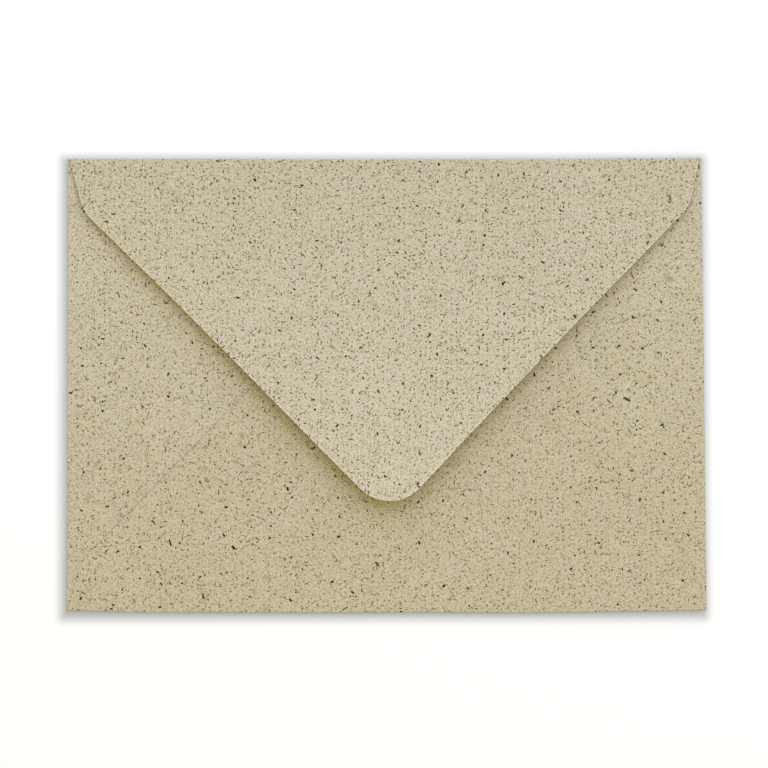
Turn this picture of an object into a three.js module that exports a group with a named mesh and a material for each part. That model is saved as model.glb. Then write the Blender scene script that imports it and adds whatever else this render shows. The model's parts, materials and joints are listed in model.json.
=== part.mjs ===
// B6 envelope with a V-shaped seal flap: one folded paper blank, two glued side seams and a gummed band.
// Millimetres, +Z up. It lies on its front, flap side up, and the flap stands a few degrees off the pocket.
// Origin: middle of the front's outer face. +X runs along the width, +Y towards the seal flap's fold.
import * as THREE from "three";

// Finished size and sheet
const envelopeWidth = 176;
const envelopeHeight = 125;
const paperThickness = 0.16;

// Layers, from the front panel upwards, with the seal flap shut
const pocketGap = 0.1; // between the front panel and the side flaps, with nothing in the pocket
const seamGlueThickness = 0.04;
const closingClearance = 0.3; // between the gum and the bottom flap, the dry flap lying shut
const gumThickness = 0.03;
const slopedGap = 0.02; // hairline between two pieces that meet on a slope

const cornerNotch = 0.1; // every fold starts this far from its panel corner

// Flap outlines. A shoulder is where the steep side of a flap turns into its straight edge:
// its inset is measured along the fold from the envelope's corner, its depth square to the fold.
// An edge angle is between a flap's straight edges and its own fold.
const sealShoulderInset = 4.2;
const sealShoulderDepth = 14.3;
const sealShoulderRadius = 12.5;
const sealEdgeAngle = THREE.MathUtils.degToRad(45.45);
const sealTipRadius = 11.2;
const sealSkew = THREE.MathUtils.degToRad(0.55); // the seal flap was folded a little askew
const seamAngle = THREE.MathUtils.degToRad(45); // edge angle of the bottom flap, which the side seams follow
const bottomShoulderInset = 4.2;
const bottomShoulderDepth = 14.1;
const bottomShoulderRadius = 12.5;
const bottomTipRadius = 14;
const bottomTipOffset = -1.8; // the bottom flap's point lies left of the middle
const sideShoulderInset = 4;
const sideShoulderDepth = 14;
const sideShoulderRadius = 10;
const sideTipRadius = 12;

// Glue lines and gum band
const seamGlueMargin = 3; // from both edges of the overlap
const seamGlueEndMargin = 6; // from the side flap's shoulder and from its rounded tip
const seamGlueCornerRadius = 2;
const gumWidth = 10;
const gumEdgeMargin = 3; // from the seal flap's edge
const gumEndDepth = 22; // where both arms of the band end, from the fold
const gumInnerRadius = 5;

// The seal flap's rest pose
const restAngle = THREE.MathUtils.degToRad(3);

// Smoothness
const arcSegments = 6; // pairs of facets on a rounded corner
const foldSegments = 14; // facets round a crease

const paper = new THREE.MeshStandardMaterial({ color: 0xc9bfa5, roughness: 0.9, metalness: 0 });
const seamGlue = new THREE.MeshStandardMaterial({ color: 0xe6e0cc, roughness: 0.5, metalness: 0 });
const gum = new THREE.MeshStandardMaterial({ color: 0xd6caa0, roughness: 0.25, metalness: 0 });

// Height of each flap's underside when closed. A crease rolls round half of that height.
const sideFlapLevel = paperThickness + pocketGap;
const bottomFlapLevel = sideFlapLevel + paperThickness + seamGlueThickness;
const sealFlapLevel = bottomFlapLevel + paperThickness + closingClearance + gumThickness + slopedGap;

// How far a crease reaches in from the envelope's outer edge, which is where its panel and its flap begin
const creaseDepth = (flapLevel) => flapLevel / 2 + paperThickness / 2;

// A closed outline through the given corners, each { x, y, radius }, with arcs at those that have a radius.
function roundedOutline(corners) {
  const outline = new THREE.Shape();
  corners.forEach((corner, i) => {
    const here = new THREE.Vector2(corner.x, corner.y);
    const previous = corners[(i + corners.length - 1) % corners.length];
    const next = corners[(i + 1) % corners.length];
    const back = new THREE.Vector2(previous.x, previous.y).sub(here).normalize();
    const ahead = new THREE.Vector2(next.x, next.y).sub(here).normalize();
    if (!corner.radius) {
      if (i === 0) outline.moveTo(here.x, here.y);
      else outline.lineTo(here.x, here.y);
      return;
    }
    const halfAngle = back.angleTo(ahead) / 2;
    const tangentLength = corner.radius / Math.tan(halfAngle);
    const start = here.clone().addScaledVector(back, tangentLength);
    const end = here.clone().addScaledVector(ahead, tangentLength);
    const towardsCentre = back.clone().add(ahead).normalize();
    const centre = here.clone().addScaledVector(towardsCentre, corner.radius / Math.sin(halfAngle));
    const clockwise = back.cross(ahead) > 0;
    outline.absarc(
      centre.x,
      centre.y,
      corner.radius,
      start.sub(centre).angle(),
      end.sub(centre).angle(),
      clockwise,
    );
  });
  return outline;
}

function namedMesh(name, geometry, material) {
  const mesh = new THREE.Mesh(geometry, material);
  mesh.name = name;
  return mesh;
}

// A flat layer of the given outline, with its underside at z = level.
function layer(name, outline, level, thickness, material) {
  const geometry = new THREE.ExtrudeGeometry(outline, {
    depth: thickness,
    bevelEnabled: false,
    curveSegments: arcSegments,
  });
  const mesh = namedMesh(name, geometry, material);
  mesh.position.z = level;
  return mesh;
}

// Flaps and creases are drawn for a fold along X, with the outside towards +Y, and then turned to their side.
// A fold has its distance from the envelope's middle, its half length between the envelope's corners,
// the level that its flap closes to, and the inset at its -X and +X end.
const sideCrease = creaseDepth(sideFlapLevel);
const bottomCrease = creaseDepth(bottomFlapLevel);
const sealCrease = creaseDepth(sealFlapLevel);

const sealFold = {
  distance: envelopeHeight / 2,
  halfLength: envelopeWidth / 2,
  level: sealFlapLevel,
  insets: [sideCrease + cornerNotch, sideCrease + cornerNotch],
};
const bottomFold = {
  distance: envelopeHeight / 2,
  halfLength: envelopeWidth / 2,
  level: bottomFlapLevel,
  insets: [sideCrease + cornerNotch, sideCrease + cornerNotch],
};
const leftFold = {
  distance: envelopeWidth / 2,
  halfLength: envelopeHeight / 2,
  level: sideFlapLevel,
  insets: [bottomCrease + cornerNotch, sealCrease + cornerNotch],
};
const rightFold = { ...leftFold, insets: leftFold.insets.toReversed() };

// A corner turned round the middle of its fold, in the plane of the flap.
function skewed(corner, fold, skew) {
  const foldMiddle = new THREE.Vector2(0, fold.distance);
  const { x, y } = new THREE.Vector2(corner.x, corner.y).rotateAround(foldMiddle, skew);
  return { ...corner, x, y };
}

// The flap's root line, which stays on the fold, and its two shoulders and tip, which follow the skew.
function flapOutline(fold, sizes) {
  const { shoulderInset, shoulderDepth, shoulderRadius, edgeAngle, tipRadius, tipOffset = 0, skew = 0 } = sizes;
  const rootY = fold.distance - creaseDepth(fold.level);
  const shoulderX = fold.halfLength - shoulderInset;
  const shoulderY = fold.distance - shoulderDepth;
  const tipY = shoulderY - shoulderX * Math.tan(edgeAngle);
  return roundedOutline([
    { x: fold.halfLength - fold.insets[1], y: rootY },
    { x: -fold.halfLength + fold.insets[0], y: rootY },
    skewed({ x: -shoulderX, y: shoulderY, radius: shoulderRadius }, fold, skew),
    skewed({ x: tipOffset, y: tipY, radius: tipRadius }, fold, skew),
    skewed({ x: shoulderX, y: shoulderY, radius: shoulderRadius }, fold, skew),
  ]);
}

// A rolled crease: from the front panel's edge, round and back to the flap's root.
// The sheet's middle line leaves the panel level and arrives along the flap, which may be raised.
function crease(name, fold, flapRoot, arrival) {
  const radius = fold.level / 2;
  const handle = (4 / 3) * radius; // gives the curve the depth of a half circle
  const panelEdge = new THREE.Vector2(fold.distance - creaseDepth(fold.level), paperThickness / 2);
  const middleLine = new THREE.CubicBezierCurve(
    panelEdge,
    panelEdge.clone().add(new THREE.Vector2(handle, 0)),
    flapRoot.clone().addScaledVector(arrival, -handle),
    flapRoot,
  );
  const faces = [1, -1].map((side) =>
    Array.from({ length: foldSegments + 1 }, (_, i) => {
      const along = middleLine.getTangent(i / foldSegments);
      const across = new THREE.Vector2(-along.y, along.x).multiplyScalar((side * paperThickness) / 2);
      return middleLine.getPoint(i / foldSegments).add(across);
    }),
  );
  const section = new THREE.Shape([...faces[0], ...faces[1].reverse()]);
  const length = 2 * fold.halfLength - fold.insets[0] - fold.insets[1];
  const geometry = new THREE.ExtrudeGeometry(section, { depth: length, bevelEnabled: false });
  // The section's own axes become Y and Z, and it is drawn out along X
  const acrossFold = new THREE.Vector3(0, 1, 0);
  const upwards = new THREE.Vector3(0, 0, 1);
  const alongFold = new THREE.Vector3(1, 0, 0);
  geometry.applyMatrix4(new THREE.Matrix4().makeBasis(acrossFold, upwards, alongFold));
  const mesh = namedMesh(name, geometry, paper);
  mesh.position.x = fold.insets[0] - fold.halfLength;
  return mesh;
}

// A glued flap with its crease, turned from the +Y side to its own side of the envelope.
function gluedSide(name, fold, turn, outlineSizes) {
  const rootY = fold.distance - creaseDepth(fold.level);
  const flapRoot = new THREE.Vector2(rootY, fold.level + paperThickness / 2);
  const side = new THREE.Group();
  side.rotation.z = turn;
  side.add(
    crease(`${name}_fold`, fold, flapRoot, new THREE.Vector2(-1, 0)),
    layer(outlineSizes.node, flapOutline(fold, outlineSizes), fold.level, paperThickness, paper),
  );
  return side;
}

function frontPanel() {
  const left = -envelopeWidth / 2 + sideCrease;
  const bottom = -envelopeHeight / 2 + bottomCrease;
  const top = envelopeHeight / 2 - sealCrease;
  const outline = new THREE.Shape([
    new THREE.Vector2(left, bottom),
    new THREE.Vector2(-left, bottom),
    new THREE.Vector2(-left, top),
    new THREE.Vector2(left, top),
  ]);
  return layer("front_panel", outline, 0, paperThickness, paper);
}

// A side seam's glue line, in the middle of the overlap between the bottom flap's straight edge and the
// side flap's lower one, which run parallel. side is -1 for the left seam and 1 for the right.
function seamGlueLine(name, side) {
  const cornerX = (side * envelopeWidth) / 2;
  const cornerY = -envelopeHeight / 2;
  const along = new THREE.Vector2(-side * Math.cos(seamAngle), Math.sin(seamAngle));
  const across = new THREE.Vector2(side * Math.sin(seamAngle), Math.cos(seamAngle));
  const bottomFlapShoulder = new THREE.Vector2(
    cornerX - side * bottomShoulderInset,
    cornerY + bottomShoulderDepth,
  );
  const sideFlapShoulder = new THREE.Vector2(cornerX - side * sideShoulderDepth, cornerY + sideShoulderInset);
  const overlap = bottomFlapShoulder.clone().sub(sideFlapShoulder).dot(across);
  const sideEdgeLength = (envelopeHeight / 2 - sideShoulderInset) / Math.sin(seamAngle);
  const tipTangent = sideTipRadius * Math.tan(Math.PI / 2 - seamAngle);
  const corner = (length, width) => {
    const point = sideFlapShoulder.clone().addScaledVector(along, length).addScaledVector(across, width);
    return { x: point.x, y: point.y, radius: seamGlueCornerRadius };
  };
  const lowEnd = seamGlueEndMargin;
  const highEnd = sideEdgeLength - tipTangent - seamGlueEndMargin;
  const outline = roundedOutline([
    corner(lowEnd, seamGlueMargin),
    corner(highEnd, seamGlueMargin),
    corner(highEnd, overlap - seamGlueMargin),
    corner(lowEnd, overlap - seamGlueMargin),
  ]);
  return layer(name, outline, sideFlapLevel + paperThickness, seamGlueThickness, seamGlue);
}

// The V of gum under the seal flap, at an even distance from its two straight edges and its tip.
function gumBand() {
  const edgeX = envelopeWidth / 2 - sealShoulderInset;
  const edgeY = envelopeHeight / 2 - sealShoulderDepth;
  const endY = envelopeHeight / 2 - gumEndDepth;
  const shiftedEdgeX = (distance) => edgeX - distance / Math.sin(sealEdgeAngle);
  const endX = (distance) => shiftedEdgeX(distance) - (edgeY - endY) / Math.tan(sealEdgeAngle);
  const tipY = (distance) => edgeY - shiftedEdgeX(distance) * Math.tan(sealEdgeAngle);
  const outer = gumEdgeMargin;
  const inner = gumEdgeMargin + gumWidth;
  const corners = [
    { x: endX(outer), y: endY },
    { x: endX(inner), y: endY },
    { x: 0, y: tipY(inner), radius: gumInnerRadius },
    { x: -endX(inner), y: endY },
    { x: -endX(outer), y: endY },
    { x: 0, y: tipY(outer), radius: sealTipRadius - gumEdgeMargin },
  ];
  const outline = roundedOutline(corners.map((corner) => skewed(corner, sealFold, sealSkew)));
  const level = sealFlapLevel - slopedGap - gumThickness;
  return layer("seal_gum", outline, level, gumThickness, gum);
}

// The seal flap turns about the outermost line of its crease, in the middle of the sheet, which carries it from
// closed, half a turn round, into the front panel's plane.
const hinge = new THREE.Vector2(
  envelopeHeight / 2 - paperThickness / 2,
  paperThickness / 2 + sealFlapLevel / 2,
);

function sealFlap() {
  const closed = new THREE.Group();
  closed.position.set(0, -hinge.x, -hinge.y);
  closed.add(
    layer(
      "top_flap",
      flapOutline(sealFold, {
        shoulderInset: sealShoulderInset,
        shoulderDepth: sealShoulderDepth,
        shoulderRadius: sealShoulderRadius,
        edgeAngle: sealEdgeAngle,
        tipRadius: sealTipRadius,
        skew: sealSkew,
      }),
      sealFlapLevel,
      paperThickness,
      paper,
    ),
    gumBand(),
  );
  const raised = new THREE.Group();
  raised.position.set(0, hinge.x, hinge.y);
  raised.rotation.x = -restAngle;
  raised.add(closed);
  return raised;
}

// The seal flap's crease ends a hairline short of the raised flap's root.
function sealCreaseStrip() {
  const closedRoot = new THREE.Vector2(
    envelopeHeight / 2 - sealCrease + slopedGap,
    sealFlapLevel + paperThickness / 2,
  );
  const raisedRoot = closedRoot.rotateAround(hinge, -restAngle);
  const arrival = new THREE.Vector2(-1, 0).rotateAround(new THREE.Vector2(), -restAngle);
  return crease("top_fold", sealFold, raisedRoot, arrival);
}

const sideOutline = {
  shoulderInset: sideShoulderInset,
  shoulderDepth: sideShoulderDepth,
  shoulderRadius: sideShoulderRadius,
  edgeAngle: Math.PI / 2 - seamAngle,
  tipRadius: sideTipRadius,
};
const bottomOutline = {
  node: "bottom_flap",
  shoulderInset: bottomShoulderInset,
  shoulderDepth: bottomShoulderDepth,
  shoulderRadius: bottomShoulderRadius,
  edgeAngle: seamAngle,
  tipRadius: bottomTipRadius,
  tipOffset: -bottomTipOffset, // drawn for the +Y side and turned half round
};

const envelope = new THREE.Group();
envelope.add(
  frontPanel(),
  gluedSide("left", leftFold, Math.PI / 2, { node: "left_side_flap", ...sideOutline }),
  gluedSide("right", rightFold, -Math.PI / 2, { node: "right_side_flap", ...sideOutline }),
  gluedSide("bottom", bottomFold, Math.PI, bottomOutline),
  seamGlueLine("left_seam_glue", -1),
  seamGlueLine("right_seam_glue", 1),
  sealCreaseStrip(),
  sealFlap(),
);

export default envelope;
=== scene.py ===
import json
import math

import bpy
import numpy as np
from mathutils import Matrix, Vector
from mathutils.geometry import convex_hull_2d, delaunay_2d_cdt


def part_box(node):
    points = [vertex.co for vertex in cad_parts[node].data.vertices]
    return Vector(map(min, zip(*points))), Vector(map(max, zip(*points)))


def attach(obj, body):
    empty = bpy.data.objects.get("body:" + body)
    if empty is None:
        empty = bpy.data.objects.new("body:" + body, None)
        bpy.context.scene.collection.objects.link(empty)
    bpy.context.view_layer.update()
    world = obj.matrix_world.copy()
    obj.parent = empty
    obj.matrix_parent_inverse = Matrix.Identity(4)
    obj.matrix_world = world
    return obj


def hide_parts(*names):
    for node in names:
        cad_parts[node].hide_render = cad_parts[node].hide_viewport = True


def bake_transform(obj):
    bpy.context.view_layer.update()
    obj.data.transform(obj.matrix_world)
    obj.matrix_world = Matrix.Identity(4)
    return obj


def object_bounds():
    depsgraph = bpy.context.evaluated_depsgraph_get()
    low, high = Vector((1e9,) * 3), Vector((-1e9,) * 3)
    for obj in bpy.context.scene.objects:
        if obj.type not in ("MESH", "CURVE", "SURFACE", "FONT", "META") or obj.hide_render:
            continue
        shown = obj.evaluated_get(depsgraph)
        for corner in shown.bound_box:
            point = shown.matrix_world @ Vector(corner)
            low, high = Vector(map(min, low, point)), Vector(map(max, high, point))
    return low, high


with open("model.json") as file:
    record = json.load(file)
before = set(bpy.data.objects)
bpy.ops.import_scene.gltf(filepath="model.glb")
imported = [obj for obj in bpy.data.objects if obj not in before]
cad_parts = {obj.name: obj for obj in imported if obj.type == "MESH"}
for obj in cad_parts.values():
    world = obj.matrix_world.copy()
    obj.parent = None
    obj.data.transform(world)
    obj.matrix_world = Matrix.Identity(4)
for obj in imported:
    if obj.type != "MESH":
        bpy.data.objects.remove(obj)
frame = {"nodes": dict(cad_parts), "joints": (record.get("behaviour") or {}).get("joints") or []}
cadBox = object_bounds()
scene = bpy.context.scene
mm = 0.001
print("frame loaded:", len(frame["nodes"]), "nodes")


class Wire:
    # an output socket of a node tree; arithmetic on it adds Math nodes
    def __init__(self, board, socket):
        self.board = board
        self.socket = socket

    def by(self, operation, *others):
        return self.board.worked(operation, self, *others)

    def __add__(self, other):
        return self.by("ADD", other)

    def __radd__(self, other):
        return self.board.worked("ADD", other, self)

    def __sub__(self, other):
        return self.by("SUBTRACT", other)

    def __rsub__(self, other):
        return self.board.worked("SUBTRACT", other, self)

    def __mul__(self, other):
        return self.by("MULTIPLY", other)

    def __rmul__(self, other):
        return self.board.worked("MULTIPLY", other, self)

    def __truediv__(self, other):
        return self.by("DIVIDE", other)

    def __rtruediv__(self, other):
        return self.board.worked("DIVIDE", other, self)


def named(sockets, name):
    # the socket in use that has this name or identifier
    return next(s for s in sockets if name in (s.identifier, s.name) and s.enabled)


class Board:
    # a node tree that is being filled
    def __init__(self, tree):
        self.tree = tree

    def node(self, kind, settings=None, sockets=None, out=0):
        made = self.tree.nodes.new(kind)
        for name, value in (settings or {}).items():
            setattr(made, name, value)
        for key, value in (sockets or {}).items():
            socket = made.inputs[key] if isinstance(key, int) else named(made.inputs, key)
            if isinstance(value, Wire):
                self.tree.links.new(value.socket, socket)
            else:
                socket.default_value = value
        if not made.outputs:
            return None
        return Wire(self, made.outputs[out] if isinstance(out, int) else named(made.outputs, out))

    def other(self, wire, out):
        # another output of the node that a wire comes from
        return Wire(self, named(wire.socket.node.outputs, out))

    def worked(self, operation, *values):
        return self.node("ShaderNodeMath", {"operation": operation}, dict(enumerate(values)))

    def onVectors(self, operation, *values, out="Vector"):
        return self.node("ShaderNodeVectorMath", {"operation": operation}, dict(enumerate(values)), out=out)

    def mixed(self, share, a, b, how="MIX"):
        return self.node(
            "ShaderNodeMix",
            {"data_type": "RGBA", "blend_type": how},
            {"Factor_Float": share, "A_Color": a, "B_Color": b},
            out="Result_Color",
        )

    def tinted(self, colour, tint):
        return self.mixed(1.0, colour, tint, "MULTIPLY")

    def eased(self, value, low, high, toLow=0.0, toHigh=1.0):
        return self.node(
            "ShaderNodeMapRange",
            {"interpolation_type": "SMOOTHSTEP"},
            {"Value": value, "From Min": low, "From Max": high, "To Min": toLow, "To Max": toHigh},
            out="Result",
        )

    def parts(self, vector):
        split = self.node("ShaderNodeSeparateXYZ", None, {0: vector})
        return split, self.other(split, "Y"), self.other(split, "Z")

    def vector(self, x, y, z):
        return self.node("ShaderNodeCombineXYZ", None, {0: x, 1: y, 2: z})

    def noise(self, place, scale, detail, rough):
        sockets = {"Vector": place, "Scale": scale, "Detail": detail, "Roughness": rough}
        return self.node("ShaderNodeTexNoise", None, sockets, out="Fac")

    def attribute(self, name, out):
        return self.node("ShaderNodeAttribute", {"attribute_name": name}, None, out)

    def bumped(self, strength, distance, height):
        sockets = {"Strength": strength, "Distance": distance, "Height": height}
        return self.node("ShaderNodeBump", None, sockets)


def between(share, ends):
    # the value that lies a share of the way from one end to the other
    return share * (ends[1] - ends[0]) + ends[0]


def linear(r, g, b):
    # a colour as a screen shows it, 0 to 255, turned into the light that a shader works in
    def channel(value):
        share = value / 255
        return share / 12.92 if share <= 0.04045 else ((share + 0.055) / 1.055) ** 2.4

    return (channel(r), channel(g), channel(b), 1.0)


white = (1, 1, 1, 1)


def newMaterial(name):
    material = bpy.data.materials.new(name)
    material.use_nodes = True
    tree = material.node_tree
    tree.nodes.clear()
    return material, Board(tree)


def finishMaterial(board, colour, roughness, normal, gloss):
    sockets = {"Base Color": colour, "Roughness": roughness, "Normal": normal, "Specular IOR Level": gloss}
    surface = board.node("ShaderNodeBsdfPrincipled", None, sockets)
    board.node("ShaderNodeOutputMaterial", None, {"Surface": surface})


paperTones = {
    "sheet": linear(215, 204, 177),
    "shade": linear(204, 193, 163),
    "light": linear(235, 228, 206),
    "straw": linear(168, 156, 116),
    "fibre": linear(122, 109, 62),
    "bark": linear(46, 31, 0),
    "husk": linear(98, 86, 44),
    "olive": linear(150, 142, 96),
    "hair": linear(226, 220, 196),
}

paperLook = {
    # patterns: scale per mm, detail, roughness
    "cloud": (0.045, 3.0, 0.55),
    "mottle": (0.35, 3.0, 0.6),
    "grain": (1.9, 3.0, 0.75),
    "crowd": (0.42, 1.0, 0.5),
    "patch": (0.14, 2.0, 0.5),
    # steps: where a change sets in, where it is full, and what it runs between where that isn't 0 and 1
    "toShade": (0.26, 0.74),
    "toLight": (0.48, 0.70),
    "toStraw": (0.49, 0.27, 0.0, 0.82),
    "toCrowded": (0.32, 0.68, 0.62, 1.38),
    "toPatch": (0.35, 0.65),
    "toRight": (84.0, 92.0),  # mm along the blank, where the painted shade on the right flap sets in and is full
    "toRough": (0.2, 0.8, 0.86, 0.94),
    "shading": {"cloud": 0.45, "mottle": 0.55},
    "patchTints": ((1.0, 1.0, 0.985, 1), (1.002, 1.0, 1.025, 1)),
    "height": {"grain": 0.6, "mottle": 0.3, "strand": 0.25, "hair": 0.5},
    "bump": (0.55, 0.03 * mm),  # strength, depth
    "rimCore": 0.4,  # the painted line along a cut edge is at its full over this share of its width
    "gloss": 0.1,
}

# Layers of short strands: name, seed, cell, length, width, share of cells, bend, softness, strength, tones.
# Sizes are in mm, and a pair of numbers is a range that each strand is drawn from.
strandLayers = [
    ("worms", 1, 0.80, (0.05, 0.40), (0.14, 0.24), 0.70, 0.6, 0.05, (0.20, 0.80), "straw", "fibre"),
    ("wormsToo", 2, 0.95, (0.10, 0.60), (0.13, 0.23), 0.68, 0.6, 0.05, (0.20, 0.85), "olive", "straw"),
    ("bits", 3, 1.25, (0.10, 0.85), (0.14, 0.25), 0.75, 0.4, 0.04, (0.35, 0.95), "straw", "fibre"),
    ("bitsToo", 4, 1.50, (0.0, 0.60), (0.17, 0.28), 0.75, 0.3, 0.04, (0.60, 1.0), "fibre", "husk"),
    ("specks", 5, 1.50, (0.05, 0.58), (0.20, 0.34), 0.35, 0.3, 0.03, (0.85, 1.0), "bark", "husk"),
    ("chips", 9, 6.00, (0.10, 0.60), (0.38, 0.60), 0.60, 0.3, 0.05, (0.90, 1.0), "bark", "bark"),
    ("splinters", 6, 8.00, (0.50, 1.40), (0.22, 0.36), 0.35, 0.25, 0.04, (0.8, 1.0), "bark", "fibre"),
]

# two more, of one tone each: the numbers from seed to softness as above, then the strength
oliveBlobs = ((7, 7.0, (0.2, 1.6), (0.4, 1.1), 0.55, 0.3, 0.30), (0.10, 0.44))
paleHairs = ((8, 6.5, (0.6, 2.2), (0.08, 0.16), 0.45, 0.5, 0.05), (0.3, 0.8))

seedShift = (31.7, 17.3)  # mm from one layer's pattern to the next one's

# The larger bits of straw on the opened sheet: place, length and width in mm, turn in degrees, strength,
# softness and tone.
largeBits = {
    "grassPaper": [
        ((109.36, -4.30), (2.10, 0.60), 30, 0.95, 0.3, "bark"),
        ((-42.02, -80.27), (1.40, 0.64), 45, 1.0, 0.25, "bark"),
        ((-59.48, -81.57), (1.95, 0.46), 73, 1.0, 0.25, "bark"),
        ((-27.08, -96.33), (1.15, 0.60), 75, 1.0, 0.3, "bark"),
        ((-2.37, -75.57), (0.95, 0.60), 106, 0.85, 0.4, "bark"),
        ((108.11, -24.00), (1.05, 0.58), 0, 0.75, 0.4, "bark"),
        ((-38.93, -107.78), (0.90, 0.70), 29, 0.85, 0.4, "bark"),
        ((-28.99, -100.93), (2.50, 0.26), 38, 0.45, 0.5, "husk"),
        ((-17.76, -89.83), (2.70, 0.24), 29, 0.45, 0.5, "husk"),
        ((-19.09, -90.52), (0.60, 0.50), 0, 0.80, 0.4, "bark"),
        ((88.62, 59.88), (1.35, 0.46), 81, 0.75, 0.4, "bark"),
        ((97.30, 28.99), (2.30, 1.70), 20, 0.50, 0.9, "olive"),
        ((-96.40, -21.50), (2.20, 1.00), 155, 0.45, 0.9, "olive"),
        ((-50.16, -107.85), (1.80, 0.75), -24, 0.45, 0.9, "olive"),
        ((107.55, 30.03), (2.30, 0.36), 63, 0.85, 0.3, "husk"),
        ((106.69, 26.04), (1.20, 0.46), 33, 0.95, 0.3, "bark"),
        ((104.95, 9.72), (1.00, 0.52), 10, 0.90, 0.3, "bark"),
        ((99.30, 38.34), (0.95, 0.50), -30, 0.80, 0.4, "bark"),
        ((108.94, -0.35), (3.40, 0.32), -53, 0.95, 0.3, "light"),
        ((109.72, 17.32), (2.00, 0.30), -25, 0.70, 0.4, "husk"),
        ((-88.81, -2.30), (0.95, 0.56), 10, 0.95, 0.3, "bark"),
        ((-95.25, -3.58), (1.65, 0.36), 27, 0.85, 0.3, "husk"),
        ((-91.09, -5.89), (1.70, 0.50), 25, 0.70, 0.4, "husk"),
        ((-64.32, -87.37), (0.95, 0.60), 45, 0.75, 0.4, "bark"),
        ((-75.54, -63.32), (0.90, 0.50), 10, 0.95, 0.3, "bark"),
        ((-49.49, -98.70), (1.60, 0.80), 60, 0.60, 0.6, "fibre"),
    ],
    "sealFlapPaper": [
        ((78.97, 74.11), (1.50, 0.72), 74, 0.70, 0.4, "bark"),
        ((52.08, 107.00), (1.10, 0.60), 62, 0.95, 0.3, "bark"),
        ((37.27, 96.08), (1.40, 0.46), 38, 0.85, 0.3, "bark"),
        ((32.33, 97.85), (0.85, 0.62), 108, 1.0, 0.3, "bark"),
        ((-2.03, 127.52), (1.10, 0.56), 67, 0.85, 0.3, "bark"),
        ((-14.79, 115.27), (1.00, 0.65), 67, 0.45, 0.5, "husk"),
        ((-4.79, 155.08), (0.65, 0.45), 34, 0.80, 0.4, "bark"),
        ((3.69, 152.98), (0.50, 0.45), 45, 0.85, 0.4, "bark"),
        ((61.70, 78.18), (1.65, 0.40), 45, 0.85, 0.3, "husk"),
        ((67.83, 78.63), (1.35, 0.50), -53, 0.80, 0.4, "fibre"),
        ((78.91, 75.26), (1.10, 0.46), -40, 0.90, 0.3, "husk"),
        ((11.98, 112.21), (1.30, 0.48), -45, 1.0, 0.3, "bark"),
        ((12.59, 123.34), (0.72, 0.64), 0, 1.0, 0.3, "bark"),
        ((8.74, 152.89), (1.00, 0.56), -60, 0.95, 0.3, "bark"),
        ((18.55, 127.98), (0.90, 0.52), 70, 0.80, 0.4, "bark"),
    ],
}


def strewn(board, place, after, seed, cell, length, width, present, bend, soft):
    # one short strand in some of the cells of a scattered pattern, in millimetres:
    # gives how much of it covers the point, and two random values of its own.
    # The pattern is flat, so z is free to take the last layer's cover, and layers are worked out in turn.
    shift = board.vector(seed * seedShift[0], seed * seedShift[1], after)
    shifted = board.onVectors("ADD", place, shift)
    cells = board.node(
        "ShaderNodeTexVoronoi",
        {"voronoi_dimensions": "2D", "feature": "F1"},
        {"Vector": shifted, "Scale": 1 / cell, "Randomness": 1.0},
        out="Position",
    )
    middle = board.onVectors("SUBTRACT", shifted, cells)
    x, y, _ = board.parts(middle)
    chance = board.node("ShaderNodeTexWhiteNoise", {"noise_dimensions": "2D"}, {"Vector": cells}, out="Color")
    turn, long, wide = board.parts(chance)
    drawn, tint, shade = board.parts(board.other(cells, "Color"))
    angle = turn * (2 * math.pi)
    cosine = angle.by("COSINE")
    sine = angle.by("SINE")
    lengthways = x * cosine + y * sine
    across = y * cosine - x * sine + (shade - 0.5) * bend * lengthways * lengthways
    half = between(long, length) * 0.5
    thick = between(wide, width) * 0.5
    beyond = (lengthways.by("ABSOLUTE") - half).by("MAXIMUM", 0.0)
    apart = (beyond * beyond + across * across).by("SQRT") - thick
    cover = board.eased(apart, soft, -soft)
    return cover * drawn.by("LESS_THAN", present), tint, shade


def largeBit(board, place, after, spot, size, turn, soft):
    # how much a single rounded bit covers the point, worked out after the bit before it
    near = board.node(
        "ShaderNodeMapping",
        {"vector_type": "TEXTURE"},
        {
            "Vector": place,
            "Location": board.vector(*spot, after),
            "Rotation": (0.0, 0.0, math.radians(turn)),
            "Scale": (size[0] / 2, size[1] / 2, 1e6),  # so far drawn out upwards that z doesn't count
        },
    )
    apart = board.onVectors("LENGTH", board.onVectors("MULTIPLY", near, near), out="Value")
    return board.eased(apart, 1 + soft, 1 - soft)


def pulp(board, place, finer, crisp):
    # the sheet's tone before any straw lies in it, with its grain and how high it stands
    cloud = board.noise(place, *paperLook["cloud"])
    mottle = board.noise(place, *paperLook["mottle"])
    scale, detail, rough = paperLook["grain"]
    grain = (board.noise(place, scale * finer, detail, rough) - 0.5) * crisp + 0.5
    shading = cloud * paperLook["shading"]["cloud"] + mottle * paperLook["shading"]["mottle"]
    shading = board.eased(shading, *paperLook["toShade"])
    colour = board.mixed(shading, paperTones["sheet"], paperTones["shade"])
    colour = board.mixed(board.eased(grain, *paperLook["toLight"]), colour, paperTones["light"])
    colour = board.mixed(board.eased(grain, *paperLook["toStraw"]), colour, paperTones["straw"])
    raised = grain * paperLook["height"]["grain"] + mottle * paperLook["height"]["mottle"]
    return colour, grain, raised


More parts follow.
